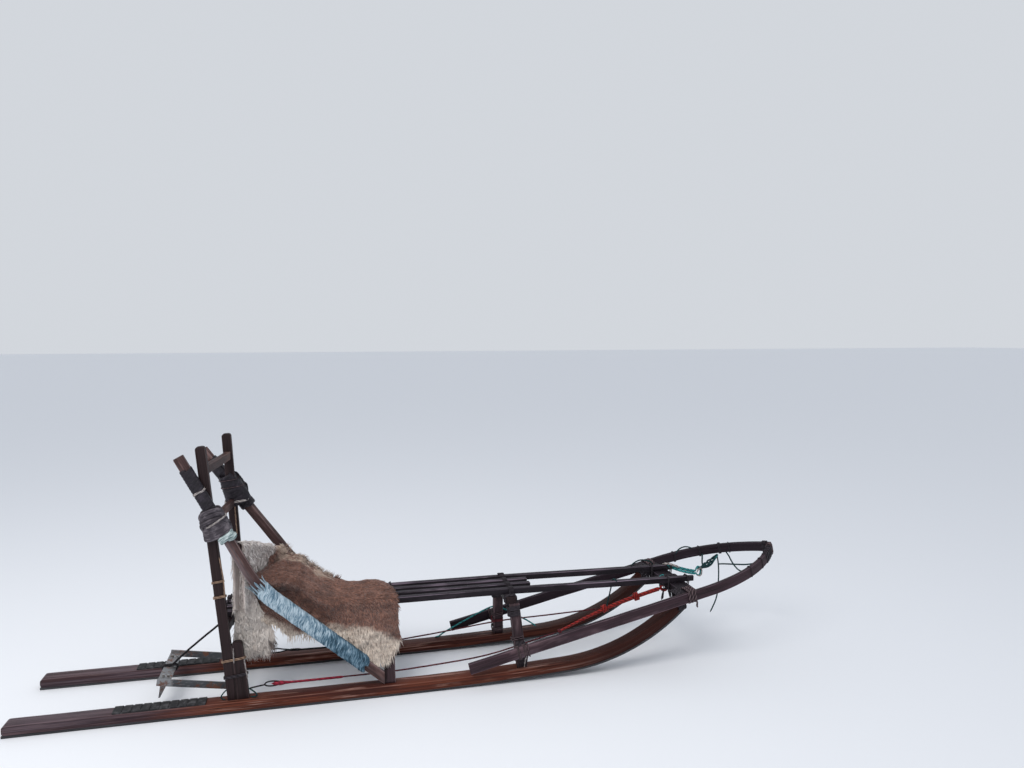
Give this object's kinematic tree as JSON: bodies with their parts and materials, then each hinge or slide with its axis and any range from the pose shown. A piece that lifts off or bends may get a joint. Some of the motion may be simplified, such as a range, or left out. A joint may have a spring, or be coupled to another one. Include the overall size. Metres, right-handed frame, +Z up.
{
  "type": "dog sled",
  "caption": "Wooden basket dog sled with curled runners, slatted bed, pointed brush bow, tall handle posts, hide seat cover, tow bridle and a hinged claw brake.",
  "frame": {"origin": "centre of the sled's length and width, on the floor under the runners", "axes": "+X forward towards the bow's tip, +Y to the sled's left, +Z up"},
  "size_m": [3.278, 0.524, 1.04],
  "materials": {
    "runner_wood": "weathered laminated hardwood, damp, worn edges",
    "frame_wood": "dark weathered hardwood",
    "handle_wood": "hand-worn dark hardwood",
    "bed_wood": "weathered slats",
    "bow_wood": "bent laminated strip, weathered",
    "strut_wood": "bare brown wood",
    "runner_sole": "scuffed dark sliding sole",
    "tread_rubber": "ribbed rubber",
    "wrap_cloth": "faded cloth strip wound round the strut",
    "lashing_cord": "dark waxed cord",
    "binding_cloth": "grey cloth strip bound with cord",
    "binding_tape": "black cloth tape",
    "brown_hide": "reindeer hide, hair side",
    "pale_hide": "reindeer hide, pale belly hair",
    "brake_steel": "dark painted steel, worn bright at the points",
    "tow_line": "dark braided line",
    "shock_cord": "red-orange braided elastic cord"
  },
  "bodies": {
    "sled": {"runner_right": "runner_wood", "runner_left": "runner_wood", "runner_sole_right": "runner_sole", "runner_sole_left": "runner_sole", "nose_sole_right": "runner_sole", "nose_sole_left": "runner_sole", "foot_pad_right": "tread_rubber", "foot_pad_left": "tread_rubber", "rear_post_right": "frame_wood", "rear_post_left": "frame_wood", "rear_stanchion_right": "frame_wood", "rear_stanchion_left": "frame_wood", "middle_stanchion_right": "frame_wood", "middle_stanchion_left": "frame_wood", "front_stanchion_right": "frame_wood", "front_stanchion_left": "frame_wood", "middle_crossbar": "frame_wood", "front_crossbar": "frame_wood", "rear_crossbar": "frame_wood", "lower_handle_bar": "handle_wood", "handlebar": "handle_wood", "backrest_bar": "handle_wood", "bed_rail_right": "bed_wood", "bed_rail_left": "bed_wood", "bed_slat_right": "bed_wood", "bed_slat_left": "bed_wood", "nose_board": "bed_wood", "bow_arm_right": "bow_wood", "bow_arm_left": "bow_wood", "bow_lashing_right": "lashing_cord", "bow_lashing_left": "lashing_cord", "handle_strut_right": "strut_wood", "handle_strut_left": "strut_wood", "handle_binding_right": "binding_cloth", "handle_binding_left": "binding_tape", "strut_wrap": "wrap_cloth", "seat_hide": "brown_hide", "back_hide": "pale_hide", "brake_axle": "brake_steel", "bridle_right": "tow_line", "bridle_left": "tow_line", "shock_cord": "shock_cord", "tow_knot": "shock_cord"},
    "brake": {"brake_frame": "brake_steel", "brake_claws": "brake_steel"}
  },
  "joints": [
    {"name": "brake_pivot", "type": "hinge", "parent": "sled", "child": "brake", "pos_m": [-0.841, 0, 0.07], "axis": [0, -1, 0], "range_deg": [0, 12], "stiffness_Nm_per_rad": 22, "springref_deg": -22.92}
  ]
}
